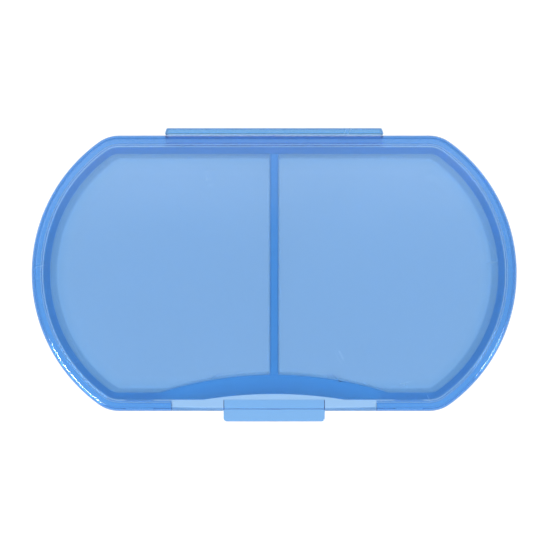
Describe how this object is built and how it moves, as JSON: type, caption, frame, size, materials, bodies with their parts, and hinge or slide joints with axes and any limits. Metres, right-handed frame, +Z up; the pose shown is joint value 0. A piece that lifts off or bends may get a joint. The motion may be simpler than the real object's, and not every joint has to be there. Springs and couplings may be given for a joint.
{
  "type": "pill box",
  "caption": "Flat two-compartment pill box in translucent blue plastic, with bowed ends, a thumb tab over a finger scoop and a snap lid on a living-hinge strap.",
  "frame": {"origin": "centre of the flat underside of the tray, where the box rests on a table", "axes": "+X along the width, +Y towards the hinge strap behind, +Z up through the lid; the thumb tab points to -Y"},
  "size_m": [0.0824, 0.0499, 0.018],
  "materials": {
    "tray_plastic": "translucent blue polypropylene, smooth moulded",
    "lid_plastic": "translucent blue polypropylene, smooth moulded, glossier outside",
    "strap_plastic": "translucent blue polypropylene, satin",
    "web_plastic": "thin, paler translucent blue polypropylene film"
  },
  "bodies": {
    "base": {"base_floor": "tray_plastic", "base_wall_left": "tray_plastic", "base_wall_right": "tray_plastic", "base_wall_back": "tray_plastic", "base_wall_front_left": "tray_plastic", "base_wall_front_right": "tray_plastic", "finger_scoop_wall": "tray_plastic", "compartment_divider": "tray_plastic", "base_hinge_ledge": "tray_plastic", "snap_bead_left": "tray_plastic", "snap_bead_right": "tray_plastic", "lower_hinge_web": "web_plastic"},
    "strap": {"hinge_strap": "strap_plastic", "upper_hinge_web": "web_plastic"},
    "lid": {"lid_panel": "lid_plastic", "lid_skirt_left": "lid_plastic", "lid_skirt_right": "lid_plastic", "lid_skirt_back": "lid_plastic", "lid_skirt_front_left": "lid_plastic", "lid_skirt_front_right": "lid_plastic", "thumb_tab": "lid_plastic", "lid_catch_left": "lid_plastic", "lid_catch_right": "lid_plastic"}
  },
  "joints": [
    {"name": "strap_hinge", "type": "hinge", "parent": "base", "child": "strap", "pos_m": [0, 0.02363, 0.00573], "axis": [-1, 0, 0], "range_deg": [0, 90], "deforming": ["lower_hinge_web"]},
    {"name": "lid_hinge", "type": "hinge", "parent": "strap", "child": "lid", "pos_m": [0, 0.02363, 0.01257], "axis": [-1, 0, 0], "range_deg": [0, 90], "deforming": ["upper_hinge_web"]}
  ]
}
